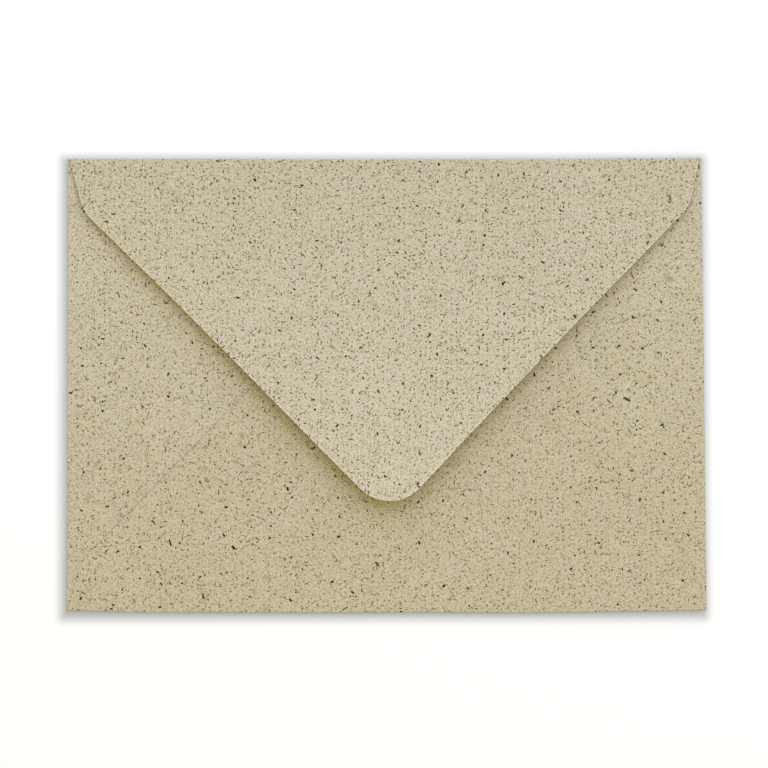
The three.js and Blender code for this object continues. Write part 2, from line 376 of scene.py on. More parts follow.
def withStraw(board, place, colour, raised, fewer, finer, bits):
    # the straw in the pulp, layer over layer
    crowd = board.eased(board.noise(place, *paperLook["crowd"]), *paperLook["toCrowded"])
    spread = board.node("ShaderNodeVectorMath", {"operation": "SCALE"}, {0: place, "Scale": finer})
    cover = 0.0
    for layer, seed, cell, length, width, present, bend, soft, strength, first, second in strandLayers:
        present = crowd * (present * fewer.get(layer, 1.0))
        cover, tint, shade = strewn(board, spread, cover, seed, cell, length, width, present, bend, soft)
        tone = board.mixed(tint, paperTones[first], paperTones[second])
        colour = board.mixed(cover * between(shade, strength), colour, tone)
        raised = raised + cover * paperLook["height"]["strand"]
    blob, tint, _ = strewn(board, place, cover, *oliveBlobs[0])
    colour = board.mixed(blob * between(tint, oliveBlobs[1]), colour, paperTones["olive"])
    hair, tint, _ = strewn(board, place, blob, *paleHairs[0])
    colour = board.mixed(hair * between(tint, paleHairs[1]), colour, paperTones["hair"])
    for spot, size, turn, share, soft, tone in bits:
        cover = largeBit(board, place, cover, spot, size, turn, soft)
        colour = board.mixed(cover * share, colour, paperTones[tone])
    return colour, raised + hair * paperLook["height"]["hair"]


def withPaintedShadeAndPatches(board, place, colour, paintedShading):
    # painted shading, which changes evenly from one height of the blank to another, painted shade that
    # darkens the right flap where one is given, and faint patches of tone
    sideways, reach, _ = board.parts(place)
    heights = {"Value": reach, "From Min": paintedShading["from"], "From Max": paintedShading["to"]}
    share = board.node("ShaderNodeMapRange", None, heights, out="Result")
    colour = board.tinted(colour, board.mixed(share, paintedShading["first"], paintedShading["last"]))
    if "right" in paintedShading:
        # painted shade: the right flap a little darker and less blue
        atRight = board.eased(sideways, *paperLook["toRight"])
        colour = board.mixed(atRight, colour, board.tinted(colour, paintedShading["right"]))
    patch = board.eased(board.noise(place, *paperLook["patch"]), *paperLook["toPatch"])
    return board.tinted(colour, board.mixed(patch, *paperLook["patchTints"]))


def grassPaper(name, rim, paintedShading, fewer, finer=1.0, crisp=1.0):
    material, board = newMaterial(name)
    place = board.attribute("sheetPlace", "Vector")
    colour, grain, raised = pulp(board, place, finer, crisp)
    colour, raised = withStraw(board, place, colour, raised, fewer, finer, largeBits[name])
    colour = withPaintedShadeAndPatches(board, place, colour, paintedShading)
    # a thin painted line along the cut edges: painted shade along the pocket's flaps, a painted highlight
    # along the seal flap
    line = board.eased(board.attribute("rimNear", "Fac"), rim["width"], rim["width"] * paperLook["rimCore"])
    colour = board.mixed(line, colour, board.tinted(colour, rim["tone"]))
    normal = board.bumped(*paperLook["bump"], raised)
    rough = board.eased(grain, *paperLook["toRough"])
    finishMaterial(board, colour, rough, normal, paperLook["gloss"])
    return material


gumLook = {
    "tones": (linear(196, 184, 150), linear(176, 160, 118)),
    "brushed": (0.15, 1.2, 1.0),  # the streaks run along the band
    "streak": (0.6, 4.0, 0.6),
    "pools": (0.25, 2.0, 0.5),
    "shares": (0.6, 0.4),  # of streaks and pools
    "toDark": (0.35, 0.65),
    "toRough": (0.3, 0.7, 0.22, 0.42),
    "bump": (0.5, 0.02 * mm),
    "gloss": 0.5,
}


def gumMaterial():
    material, board = newMaterial("driedGum")
    place = board.attribute("sheetPlace", "Vector")
    streak = board.noise(board.onVectors("MULTIPLY", place, gumLook["brushed"]), *gumLook["streak"])
    pools = board.noise(place, *gumLook["pools"])
    dark = board.eased(streak * gumLook["shares"][0] + pools * gumLook["shares"][1], *gumLook["toDark"])
    colour = board.mixed(dark, *gumLook["tones"])
    rough = board.eased(streak, *gumLook["toRough"])
    finishMaterial(board, colour, rough, board.bumped(*gumLook["bump"], streak + pools), gumLook["gloss"])
    return material


glueLook = {
    "tones": (linear(224, 216, 190), linear(205, 194, 160)),
    "beads": (260.0, 3.0, 0.6),
    "toDark": (0.35, 0.65),
    "toRough": (0.3, 0.7, 0.45, 0.65),
    "bump": (0.4, 0.02 * mm),
    "gloss": 0.5,
}


def glueMaterial():
    material, board = newMaterial("seamGlue")
    place = board.node("ShaderNodeTexCoord", None, None, out="Object")
    beads = board.noise(place, *glueLook["beads"])
    colour = board.mixed(board.eased(beads, *glueLook["toDark"]), *glueLook["tones"])
    rough = board.eased(beads, *glueLook["toRough"])
    finishMaterial(board, colour, rough, board.bumped(*glueLook["bump"], beads), glueLook["gloss"])
    return material


paper = grassPaper(
    "grassPaper",
    # a painted shade line along the cut edges, where the seams lie
    rim={"width": 0.30, "tone": (0.76, 0.74, 0.66, 1)},
    # painted shade: the sheet darkens towards the bottom of the blank, and the right flap is painted a little
    # darker and less blue
    paintedShading={
        "from": -50.0,
        "to": 25.0,
        "first": (0.972, 0.962, 0.965, 1),
        "last": (1.015, 1.012, 1.068, 1),
        "right": (0.976, 0.975, 0.948, 1),
    },
    fewer={"chips": 0.7, "specks": 0.88, "bitsToo": 0.88},
)
flapPaper = grassPaper(
    "sealFlapPaper",
    # a painted highlight along the cut edges
    rim={"width": 0.42, "tone": (1.16, 1.16, 1.18, 1)},
    # painted light: the seal flap lightens from its crease towards its tip
    paintedShading={"from": 64.0, "to": 158.0, "first": (0.955, 0.955, 0.972, 1), "last": (1.087, 1.092, 1.172, 1)},
    fewer={"chips": 0.8, "splinters": 0.9, "specks": 1.6, "bitsToo": 0.95, "worms": 0.68, "wormsToo": 0.68},
    finer=1.05,
    crisp=1.08,
)
gum = gumMaterial()
glue = glueMaterial()
print("materials made")


halfWidth = cadBox[1].x
halfHeight = (cadBox[1].y - cadBox[0].y) / 2
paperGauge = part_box("front_panel")[1].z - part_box("front_panel")[0].z


def cadPoints(node):
    return [v.co.copy() for v in frame["nodes"][node].data.vertices]


def outlineOf(points):
    # the plan outline of a flat, convex piece, anticlockwise
    flat = [Vector(pair) for pair in sorted({(round(p.x, 6), round(p.y, 6)) for p in points})]
    return [flat[i] for i in convex_hull_2d(flat)]


def sidesOf(outline):
    return list(zip(outline, outline[1:] + outline[:1]))


roundCorners = {
    "steps": 5,  # pieces that each chord of a rounded corner is split into
    "longest": 4 * mm,  # a longer side is a straight edge
    "sharpest": math.radians(25),  # a sharper turn is a real corner
}


def roundedFiner(outline):
    # the short chords of rounded corners, each split along its arc; long edges stay straight
    sides = [end - start for start, end in sidesOf(outline)]
    longest, steps = roundCorners["longest"], roundCorners["steps"]

    def heading(i):
        # the direction in which the outline passes through corner i
        before, after = sides[i - 1], sides[i]
        if before.angle(after) > roundCorners["sharpest"]:
            return None
        if before.length > longest:
            return before.normalized()
        if after.length > longest:
            return after.normalized()
        return (before.normalized() + after.normalized()).normalized()

    finer = []
    for i, (start, end) in enumerate(sidesOf(outline)):
        finer.append(start)
        first, last = heading(i), heading((i + 1) % len(sides))
        if sides[i].length > longest or first is None or last is None:
            continue
        reach = sides[i].length
        for step in range(1, steps):
            t = step / steps
            finer.append(
                start * (2 * t**3 - 3 * t**2 + 1)
                + first * (reach * (t**3 - 2 * t**2 + t))
                + end * (3 * t**2 - 2 * t**3)
                + last * (reach * (t**3 - t**2))
            )
    return finer


def evenlySplit(outline, spacing):
    points = []
    for start, end in sidesOf(outline):
        count = max(1, math.ceil((end - start).length / spacing))
        points += [start.lerp(end, k / count) for k in range(count)]
    return points


sheetGrid = {
    "rise": 0.866,  # from one row of points to the next, as a share of their spacing
    "clear": 0.35,  # the inner points' distance from the outline, as a share of their spacing
    "rowClear": 0.02 * mm,  # the points of a crease's rows lie at least this far inside
    "crossing": 1e-7,  # a row nearer to a corner than this adds no point there
    "same": 1e-8,  # points nearer than this are one
}


def splitAtRows(outline, rows):
    # extra points where the outline crosses the rows, so that the ends of a crease are rolled too
    points = []
    for start, end in sidesOf(outline):
        low, high = sorted((start.y, end.y))
        within = [y for y in rows if low + sheetGrid["crossing"] < y < high - sheetGrid["crossing"]]
        cuts = sorted((y - start.y) / (end.y - start.y) for y in within)
        points += [start] + [start.lerp(end, share) for share in cuts]
    return points


def distanceTo(points, sides):
    # how far each point lies from the nearest of some straight sides
    start = np.array([tuple(a) for a, _ in sides])
    side = np.array([tuple(b) for _, b in sides]) - start
    offset = points[:, None, :] - start[None]
    share = np.clip((offset * side).sum(-1) / (side * side).sum(-1), 0.0, 1.0)
    return np.sqrt(((offset - share[..., None] * side) ** 2).sum(-1)).min(1)


def depthInside(points, outline):
    # how far each point lies inside a closed outline; negative outside it
    nearest = distanceTo(points, sidesOf(outline))
    start = np.array([tuple(p) for p in outline])
    side = np.roll(start, -1, axis=0) - start
    end = start + side
    crosses = (start[:, 1] > points[:, None, 1]) != (end[:, 1] > points[:, None, 1])
    rise = np.where(side[:, 1] == 0, 1.0, side[:, 1])
    meets = start[:, 0] + side[:, 0] * (points[:, None, 1] - start[:, 1]) / rise
    inside = (crosses & (points[:, None, 0] < meets)).sum(1) % 2 == 1
    return np.where(inside, nearest, -nearest)


def flatMesh(name, rim, inner=(), lines=()):
    # a flat mesh of triangles inside a rim, through inner points and along lines between them, facing up
    loop = [(i, (i + 1) % len(rim)) for i in range(len(rim))]
    corners, _, faces, *_ = delaunay_2d_cdt([*rim, *inner], [*loop, *lines], [], 1, sheetGrid["same"])
    mesh = bpy.data.meshes.new(name)
    mesh.from_pydata([(p.x, p.y, 0) for p in corners], [], list(faces))
    mesh.update()
    if mesh.polygons[0].normal.z < 0:
        mesh.flip_normals()
    return mesh


def flatSheet(name, outline, spacing, rows=()):
    # a flat mesh of even triangles inside an outline; rows are extra lines across it, at these heights
    rim = splitAtRows(evenlySplit(outline, spacing), rows)
    lowest, highest = min(p.y for p in outline), max(p.y for p in outline)
    reach = int(max(abs(p.x) for p in outline) / spacing) + 1
    steps = np.arange(-reach, reach + 1) * spacing
    inner = []
    lines = []
    for y in rows:
        row = np.column_stack([steps, np.full(steps.shape, y)])
        row = row[depthInside(row, outline) > sheetGrid["rowClear"]]
        first = len(rim) + len(inner)
        inner += [Vector(p) for p in row]
        lines += [(first + i, first + i + 1) for i in range(len(row) - 1)]
    rise = spacing * sheetGrid["rise"]
    field = []
    for k, y in enumerate(np.arange(max([lowest, *rows]) + rise, highest, rise)):
        field.append(np.column_stack([steps + (k % 2) * spacing / 2, np.full(steps.shape, y)]))
    field = np.concatenate(field)
    inner += [Vector(p) for p in field[depthInside(field, outline) > spacing * sheetGrid["clear"]]]
    mesh = flatMesh(name, rim, inner, lines)
    cut = [(a, b) for a, b in sidesOf(outline) if not a.y == b.y == lowest]
    near = distanceTo(np.array([tuple(v.co.xy) for v in mesh.vertices]), cut) / mm
    mesh.attributes.new("rimNear", "FLOAT", "POINT").data.foreach_set("value", near)
    return mesh


foldSizes = ["Crease line", "Crease radius", "Fold angle", "Side turn", "Flap length"]
foldSizes += ["Sheet height", "Sheet thickness", "Paper gauge", "Half width", "Half height"]
foldSizes += ["Sag", "Puff", "Ripple", "Rim lift"]

foldFeel = {
    "through": 20,  # the paper's pattern changes this much faster through the sheet than along it
    "easeOut": (0.5 * mm, 9 * mm),  # how far past a crease the sheet starts and ends to rise
    "ripple": (24.0, 2.0, 0.5),  # scale, detail, roughness
    "rimReach": 2.0,  # mm from a cut edge over which it lifts
    "same": 1e-7,  # corners nearer than this are joined
}


def foldTree():
    # takes a flat sheet in the blank's own frame, gives it its thickness and lays its flap over
    tree = bpy.data.node_groups.new("foldedSheet", "GeometryNodeTree")
    tree.interface.new_socket("Geometry", in_out="INPUT", socket_type="NodeSocketGeometry")
    for name in foldSizes:
        tree.interface.new_socket(name, in_out="INPUT", socket_type="NodeSocketFloat")
    tree.interface.new_socket("Finish", in_out="INPUT", socket_type="NodeSocketMaterial")
    tree.interface.new_socket("Geometry", in_out="OUTPUT", socket_type="NodeSocketGeometry")
    board = Board(tree)
    start = board.node("NodeGroupInput")
    given = {name: board.other(start, name) for name in foldSizes}

    raised = board.node(
        "GeometryNodeExtrudeMesh",
        {"mode": "FACES"},
        {
            "Mesh": start,
            "Offset": board.vector(0.0, 0.0, 1.0),
            "Offset Scale": given["Sheet thickness"],
            "Individual": False,
        },
    )
    under = board.node("GeometryNodeFlipFaces", None, {"Mesh": start})
    join = tree.nodes.new("GeometryNodeJoinGeometry")
    tree.links.new(under.socket, join.inputs[0])
    tree.links.new(raised.socket, join.inputs[0])
    both = {0: Wire(board, join.outputs[0]), "Distance": foldFeel["same"]}
    slab = board.node("GeometryNodeMergeByDistance", None, both)

    x, y, z = board.parts(board.node("GeometryNodeInputPosition"))
    height = z + given["Sheet height"]
    turnCosine = given["Side turn"].by("COSINE")
    turnSine = given["Side turn"].by("SINE")
    # where each point lies on the flat blank, in mm, so that the paper's pattern runs on over the folds
    place = board.vector(
        (x * turnCosine - y * turnSine) / mm,
        (x * turnSine + y * turnCosine) / mm,
        height * (foldFeel["through"] / mm),
    )
    marked = board.node(
        "GeometryNodeStoreNamedAttribute",
        {"data_type": "FLOAT_VECTOR", "domain": "POINT"},
        {"Geometry": slab, "Name": "sheetPlace", "Value": place},
    )

    # first round the crease's arc, then straight on along the flap, which may arch
    beyond = y - given["Crease line"]
    arc = (beyond / given["Crease radius"]).by("MAXIMUM", 0.0).by("MINIMUM", given["Fold angle"])
    flat = (beyond - given["Crease radius"] * given["Fold angle"]).by("MAXIMUM", 0.0)
    reach = given["Crease radius"] + given["Paper gauge"] * 0.5 - height
    before = beyond.by("MINIMUM", 0.0)
    angleCosine = given["Fold angle"].by("COSINE")
    angleSine = given["Fold angle"].by("SINE")
    share = flat / given["Flap length"]
    droop = given["Sag"] * 4 * share * (1 - share)  # deepest halfway, by the whole sag
    foldedY = (
        given["Crease line"]
        + before
        + reach * arc.by("SINE")
        + flat * angleCosine
        + droop * angleSine
    )
    foldedZ = (
        given["Crease radius"]
        + given["Paper gauge"] * 0.5
        - reach * arc.by("COSINE")
        + flat * angleSine
        + droop * angleCosine
    )
    turnedX = x * turnCosine - foldedY * turnSine
    turnedY = x * turnSine + foldedY * turnCosine

    # the layers of the back lie a little proud of the front between the creases
    u = turnedX / given["Half width"]
    v = turnedY / given["Half height"]
    dome = (1 - u * u).by("MAXIMUM", 0.0) * (1 - v * v).by("MAXIMUM", 0.0)
    ease = board.eased(flat, *foldFeel["easeOut"])
    wave = board.noise(board.vector(turnedX, turnedY, 0.0), *foldFeel["ripple"]) - 0.5
    lift = ease * (given["Puff"] * dome + given["Ripple"] * dome.by("SQRT") * wave)
    rimNear = board.node(
        "GeometryNodeInputNamedAttribute", {"data_type": "FLOAT"}, {"Name": "rimNear"}, out="Attribute"
    )
    lift = lift + ease * given["Rim lift"] * board.eased(rimNear, foldFeel["rimReach"], 0.0)
    moved = board.node(
        "GeometryNodeSetPosition",
        None,
        {"Geometry": marked, "Position": board.vector(turnedX, turnedY, foldedZ + lift)},
    )
    smooth = board.node("GeometryNodeSetShadeSmooth", None, {"Geometry": moved, "Shade Smooth": True})
    real = board.node("GeometryNodeRealizeInstances", None, {"Geometry": smooth})
    finish = board.other(start, "Finish")
    done = board.node("GeometryNodeSetMaterial", None, {"Geometry": real, "Material": finish})
    board.node("NodeGroupOutput", None, {0: done})
    return tree


foldRule = foldTree()


# How far the real edges stray outwards from straight ones, in mm, at places along the edge from -1 to 1.
# Left and right run from the bottom edge to the crease, bottom and top from left to right.
strayingRims = {
    "left": {-1.0: -0.04, -0.75: -0.20, -0.45: -0.31, -0.1: -0.30, 0.3: -0.22, 0.75: -0.12, 1.0: -0.04},
    "right": {-1.0: 0.30, -0.7: 0.22, -0.3: 0.13, 0.1: 0.04, 0.5: -0.14, 1.0: -0.29},
    "bottom": {
        -1.0: -0.36,
        -0.77: 0.09,
        -0.57: 0.22,
        -0.19: 0.38,
        0.05: 0.32,
        0.4: 0.56,
        0.58: 0.43,
        0.78: 0.17,
        1.0: -0.08,
    },
    "top": {-1.0: 0.08, -0.6: 0.05, -0.2: -0.14, 0.1: -0.15, 0.6: -0.08, 0.8: 0.12, 1.0: 0.18},
}

creaseEnds = {
    "rolled": 0.2 * mm,  # the crease's outermost points lie within this of the envelope's edge
    "gap": 0.03 * mm,  # left between two creases that meet at a corner
    "drawn": 6 * mm,  # how much of the crease's length is drawn out
}

crispFrom = math.radians(50)  # the sheet's cut edges stay crisp under smooth shading


def along(shifts, place):
    # smooth reading between the entries of a table, for an array of places
    table = list(shifts.items())
    result = np.full(place.shape, table[0][1])
    for (low, before), (high, after) in zip(table, table[1:]):
        share = np.clip((place - low) / (high - low), 0.0, 1.0)
        result += (after - before) * share * share * (3 - 2 * share)
    return result


def pointsOf(piece):
    points = np.empty(len(piece.data.vertices) * 3)
    piece.data.vertices.foreach_get("co", points)
    return points.reshape(-1, 3)


def reachCorners(piece, axis):
    # draws the ends of a crease out to the envelope's corners, where it meets the next crease at a mitre
    points = pointsOf(piece)
    halves = (halfWidth, halfHeight)
    deep = halves[1 - axis] - np.abs(points[:, 1 - axis])
    for side in (-1, 1):
        fromEnd = halves[axis] - side * points[:, axis]
        inset = fromEnd[deep < creaseEnds["rolled"]].min()
        wanted = np.clip(deep + creaseEnds["gap"], 0.0, inset)
        share = np.clip((creaseEnds["drawn"] - fromEnd) / (creaseEnds["drawn"] - inset), 0.0, 1.0)
        points[:, axis] += side * (inset - wanted) * share
    piece.data.vertices.foreach_set("co", points.ravel())


def strayFromStraight(piece):
    # moves the sheet's points sideways so that the outline wanders as a real folded sheet's does
    points = pointsOf(piece)
    u = points[:, 0] / halfWidth
    v = points[:, 1] / halfHeight

    def weight(share):
        return np.clip(share, 0.0, 1.0) ** 2

    sideways = along(strayingRims["right"], v) * weight(u) - along(strayingRims["left"], v) * weight(-u)
    endways = along(strayingRims["top"], u) * weight(v) - along(strayingRims["bottom"], u) * weight(-v)
    points[:, 0] += sideways * mm
    points[:, 1] += endways * mm
    piece.data.vertices.foreach_set("co", points.ravel())
    piece.data.update()


def plainMesh(source, tree, values, name):
    # runs a node tree on an object and keeps its result as a plain mesh
    modifier = source.modifiers.new("shape", "NODES")
    modifier.node_group = tree
    names = {item.name: item.identifier for item in tree.interface.items_tree if item.in_out == "INPUT"}
    for key, value in values.items():
        modifier[names[key]] = value
    bpy.context.view_layer.update()
    evaluated = source.evaluated_get(bpy.context.evaluated_depsgraph_get())
    mesh = bpy.data.meshes.new_from_object(evaluated)
    mesh.name = name
    piece = bpy.data.objects.new(name, mesh)
    scene.collection.objects.link(piece)
    bpy.data.objects.remove(source)
    return piece


everySheet = {
    "Side turn": 0.0,
    "Sheet height": 0.0,
    "Sheet thickness": paperGauge,
    "Paper gauge": paperGauge,
    "Half width": halfWidth,
    "Half height": halfHeight,
    "Flap length": 1.0,
    "Finish": paper,
}


def foldedPiece(name, mesh, values, creaseAxis=None):
    source = bpy.data.objects.new(name + "Blank", mesh)
    scene.collection.objects.link(source)
    piece = plainMesh(source, foldRule, {**everySheet, **values}, name)
    if creaseAxis is not None:
        reachCorners(piece, creaseAxis)
    strayFromStraight(piece)
    piece.data.set_sharp_from_angle(angle=crispFrom)
    return piece


frontPanel = {
    "spacing": 2.2 * mm,
    "rimNear": 9.0,  # its edges are creases, so no cut edge is near
}


def makeFrontPanel():
    mesh = flatSheet("frontPanelBlank", outlineOf(cadPoints("front_panel")), frontPanel["spacing"])
    mesh.attributes["rimNear"].data.foreach_set("value", [frontPanel["rimNear"]] * len(mesh.vertices))
    # it stays flat: its crease line lies a metre away
    piece = foldedPiece("frontPanel", mesh, {"Crease line": 1.0, "Crease radius": 1 * mm, "Fold angle": 1.0})
    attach(piece, "pocket")
    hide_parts("front_panel")


sideFlap = {"puff": 0.14 * mm, "rimLift": 0.0, "fade": (0.0, 0.0)}

gluedFlaps = [
    {"name": "leftFlap", "plate": "left_side_flap", "fold": "left_fold", "turn": 90, **sideFlap},
    {"name": "rightFlap", "plate": "right_side_flap", "fold": "right_fold", "turn": -90, **sideFlap},
    {
        "name": "bottomFlap",
        "plate": "bottom_flap",
        "fold": "bottom_fold",
        "turn": 180,
        "puff": 0.16 * mm,
        "rimLift": 0.05 * mm,
        "fade": (0.06, 0.18),  # how much thinner the painted shade line along its cut edges is, left and right, in mm
    },
]

everyGluedFlap = {
    "spacing": 1.8 * mm,
    "creaseSteps": 14,
    "ripple": 0.10 * mm,
    "shoulder": 18 * mm,  # up to here from the crease no painted line shows along the cut edges
    "shoulderFade": 0.5,  # mm, and wider than the painted line
}


def unfolded(points, creaseLine, arcLength):
    # the plan of a flap's plate, opened out past its crease
    return [Vector((p.x, creaseLine + arcLength + (creaseLine - p.y))) for p in points]


def blankOutline(plate, creaseLine, arcLength):
    # the flap's opened outline down to its crease line
    opened = outlineOf(unfolded(plate, creaseLine, arcLength))
    root = min(p.y for p in opened) + 0.01 * mm
    rootXs = [p.x for p in opened if p.y < root]
    outline = [p for p in opened if p.y > root]
    return outlineOf(outline + [Vector((min(rootXs), creaseLine)), Vector((max(rootXs), creaseLine))])


def creaseRows(creaseLine, arcLength, steps):
    # the lines across the blank along which a crease is rolled
    return [creaseLine + arcLength * k / steps for k in range(1, steps + 1)]


def fadeRim(mesh, fadeLeft, fadeRight, shoulder):
    # leaves out the painted line along the cut edges near the shoulders, and thins it elsewhere
    for corner, mark in zip(mesh.vertices, mesh.attributes["rimNear"].data):
        side = fadeLeft if corner.co.x > 0 else fadeRight
        mark.value += side + (everyGluedFlap["shoulderFade"] if corner.co.y < shoulder else 0.0)


def makeGluedFlap(sizes):
    turn = math.radians(sizes["turn"])
    back = Matrix.Rotation(-turn, 4, "Z")
    plate = [back @ p for p in cadPoints(sizes["plate"])]
    radius = min(p.z for p in plate) / 2
    creaseLine = max(p.y for p in plate)
    arcLength = math.pi * radius
    outline = roundedFiner(blankOutline(plate, creaseLine, arcLength))
    rows = creaseRows(creaseLine, arcLength, everyGluedFlap["creaseSteps"])
    mesh = flatSheet(sizes["name"] + "Blank", outline, everyGluedFlap["spacing"], rows)
    fadeRim(mesh, *sizes["fade"], creaseLine + everyGluedFlap["shoulder"])
    values = {
        "Crease line": creaseLine,
        "Crease radius": radius,
        "Fold angle": math.pi,
        "Side turn": turn,
        "Puff": sizes["puff"],
        "Ripple": everyGluedFlap["ripple"],
        "Rim lift": sizes["rimLift"],
    }
    piece = foldedPiece(sizes["name"], mesh, values, creaseAxis=0 if sizes["turn"] == 180 else 1)
    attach(piece, "pocket")
    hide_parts(sizes["plate"], sizes["fold"])


makeFrontPanel()
for sizes in gluedFlaps:
    makeGluedFlap(sizes)
print("pocket folded")


sealFlap = {
    "spacing": 1.8 * mm,
    "creaseSteps": 28,
    "sag": -0.8 * mm,  # the sheet arches a little between crease and tip
    "shoulder": 14 * mm,  # from the crease to where the slanting edges start
    "tipReach": 9 * mm,  # this near to the middle both slanting edges shift the outline
    "give": 0.5,  # how much each gives way to the other at the tip
    "bendFrom": 0.47 * mm,  # height where the crease starts to follow the flap
    "bendTo": 0.66 * mm,
}

# The real flap's slanting edges are a little hollow: how far they shift outwards, in mm, at shares of the
# way from shoulder to tip.
hollowEdges = {
    "left": {0.0: -0.33, 0.15: -0.46, 0.33: -0.68, 0.5: -0.58, 0.7: -0.34, 0.85: -0.13, 1.0: -0.09},
    "right": {0.0: 0.33, 0.15: 0.15, 0.3: -0.10, 0.42: -0.21, 0.6: -0.17, 0.75: -0.10, 0.9: 0.12, 1.0: 0.18},
}

hinge = frame["joints"][0]
_, hingeY, hingeZ = hinge["pos_m"]
restAngle = math.radians(-hinge["range_deg"][0])


def laidFlat(point):
    # a point of the raised flap, turned back about the hinge until the flap lies parallel to the front
    dy, dz = point.y - hingeY, point.z - hingeZ
    cosine, sine = math.cos(restAngle), math.sin(restAngle)
    return Vector((point.x, hingeY + dy * cosine - dz * sine, hingeZ + dy * sine + dz * cosine))


def hollowed(outline, creaseLine):
    # the opened flap's outline with its slanting edges shifted, for points that lie near them
    tip = max(p.y for p in outline)
    shoulder = creaseLine + sealFlap["shoulder"]
    slant = math.sqrt(0.5)
    give = sealFlap["give"]
    moved = []
    for p in outline:
        share = np.array([(p.y - shoulder) / (tip - shoulder)])
        side, opposite = ("left", "right") if p.x < 0 else ("right", "left")
        held = min(1.0, max(0.0, (p.y - creaseLine) / sealFlap["shoulder"]))
        near = max(0.0, 1 - abs(p.x) / sealFlap["tipReach"])
        own = float(along(hollowEdges[side], share)[0]) * held * mm * (1 - near * near * give)
        pull = float(along(hollowEdges[opposite], share)[0]) * near * near * mm
        out = math.copysign(slant, p.x)
        moved.append(Vector((p.x + own * out - pull * out * give, p.y + (own + pull * give) * slant)))
    return moved


def makeSealFlap():
    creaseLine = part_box("top_fold")[0].y
    plate = [laidFlat(p) for p in cadPoints("top_flap")]
    radius = min(p.z for p in plate) / 2
    foldAngle = math.pi - restAngle
    arcLength = radius * foldAngle
    outline = roundedFiner(blankOutline(plate, creaseLine, arcLength))
    outline = hollowed(evenlySplit(outline, sealFlap["spacing"]), creaseLine)
    rows = creaseRows(creaseLine, arcLength, sealFlap["creaseSteps"])
    mesh = flatSheet("sealFlapBlank", outline, sealFlap["spacing"], rows)
    values = {
        "Crease line": creaseLine,
        "Crease radius": radius,
        "Fold angle": foldAngle,
        "Flap length": max(p.y for p in outline) - creaseLine - arcLength,
        "Sag": sealFlap["sag"],
        "Finish": flapPaper,
    }
    piece = foldedPiece("sealFlap", mesh, values, creaseAxis=0)
    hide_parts("top_flap", "top_fold")
    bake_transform(piece)
    return values


sealValues = makeSealFlap()
print("seal flap folded")


gumBand = {
    "film": 0.03 * mm,
    "sunk": 0.004 * mm,  # how deep the film lies in the paper
    "spacing": 1.2 * mm,
    "waver": 0.25 * mm,  # how far its brushed edge strays
    "waves": [(0.5, 0.61, 0.0), (0.3, 1.73, 1.0), (0.2, 2.9, 2.0)],  # height, pace and start of each wave
    "level": 0.01 * mm,  # corners that differ less in height lie on one face
}


def gumOutline():
    # the outline, in order, of the gum band's face on the paper; the band isn't convex
    mesh = frame["nodes"]["seal_gum"].data
    spots = {}
    ids = []
    for v in mesh.vertices:
        flat = laidFlat(v.co)
        key = (round(flat.x, 6), round(flat.y, 6), round(flat.z, 6))
        ids.append(spots.setdefault(key, len(spots)))
    places = list(spots)
    lowest = min(place[2] for place in places)
    edges = {}  # a dictionary, because it keeps their order
    for face in mesh.polygons:
        loop = [ids[i] for i in face.vertices]
        if not all(abs(places[i][2] - lowest) < gumBand["level"] for i in loop):
            continue
        for a, b in sidesOf(loop):
            if (b, a) in edges:
                del edges[(b, a)]
            else:
                edges[(a, b)] = True
    following = dict(edges.keys())
    order = [next(iter(following))]
    while following[order[-1]] != order[0]:
        order.append(following[order[-1]])
    return [Vector(places[i][:2]) for i in order]


def makeGumBand():
    arcLength = sealValues["Crease radius"] * sealValues["Fold angle"]
    rim = evenlySplit(unfolded(gumOutline(), sealValues["Crease line"], arcLength), gumBand["spacing"])
    wavy = []
    for i, point in enumerate(rim):
        side = rim[(i + 1) % len(rim)] - rim[i - 1]
        out = Vector((side.y, -side.x)).normalized()
        waver = sum(height * math.sin(i * pace + start) for height, pace, start in gumBand["waves"])
        wavy.append(point + out * (gumBand["waver"] * waver))
    values = {
        **sealValues,
        "Sheet height": paperGauge - gumBand["sunk"],
        "Sheet thickness": gumBand["film"] + gumBand["sunk"],
        "Finish": gum,
    }
    piece = foldedPiece("gumBand", flatMesh("gumBlank", wavy), values)
    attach(piece, "flap")
    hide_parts("seal_gum")


makeGumBand()
for name in ("left_seam_glue", "right_seam_glue"):
    frame["nodes"][name].data.materials.clear()
    frame["nodes"][name].data.materials.append(glue)
print("gum and seam glue finished")


def seenByEye(board):
    # 1 where the camera looks, straight or in a shine, and 0 for the light that falls on things
    path = board.node("ShaderNodeLightPath", None, None, out="Is Camera Ray")
    seen = path.by("MAXIMUM", board.other(path, "Is Glossy Ray"))
    return seen.by("MAXIMUM", board.other(path, "Is Transmission Ray"))


studioFloor = {
    "reach": 3.0,
    "under": 0.05 * mm,  # the middle of the envelope lies this far above the floor
    "drop": 0.25 * mm,  # the floor falls away a little below the envelope's rims
    "inset": 9 * mm,
    "rings": 12,
    # past the crease it falls further, to leave room for the opened flap's arch: how far out, how far down
    "behind": [(10 * mm, 0.15 * mm), (25 * mm, 0.45 * mm), (50 * mm, 0.75 * mm)],
    "matte": (0.51, 0.515, 0.525, 1),
    # the painted shadow round the envelope: its darkest tint, where it starts and ends past the rim, its
    # shift, and how much taller than the envelope it is
    "shade": {
        "tint": (0.495, 0.50, 0.51, 1),
        "from": -1.1 * mm,
        "to": 3.6 * mm,
        "shift": (-0.52 * mm, -0.86 * mm),
        "taller": 0.30 * mm,
    },
    "glow": 0.55,
    "fade": (0.22, 0.60),  # where it passes into the white round it
}


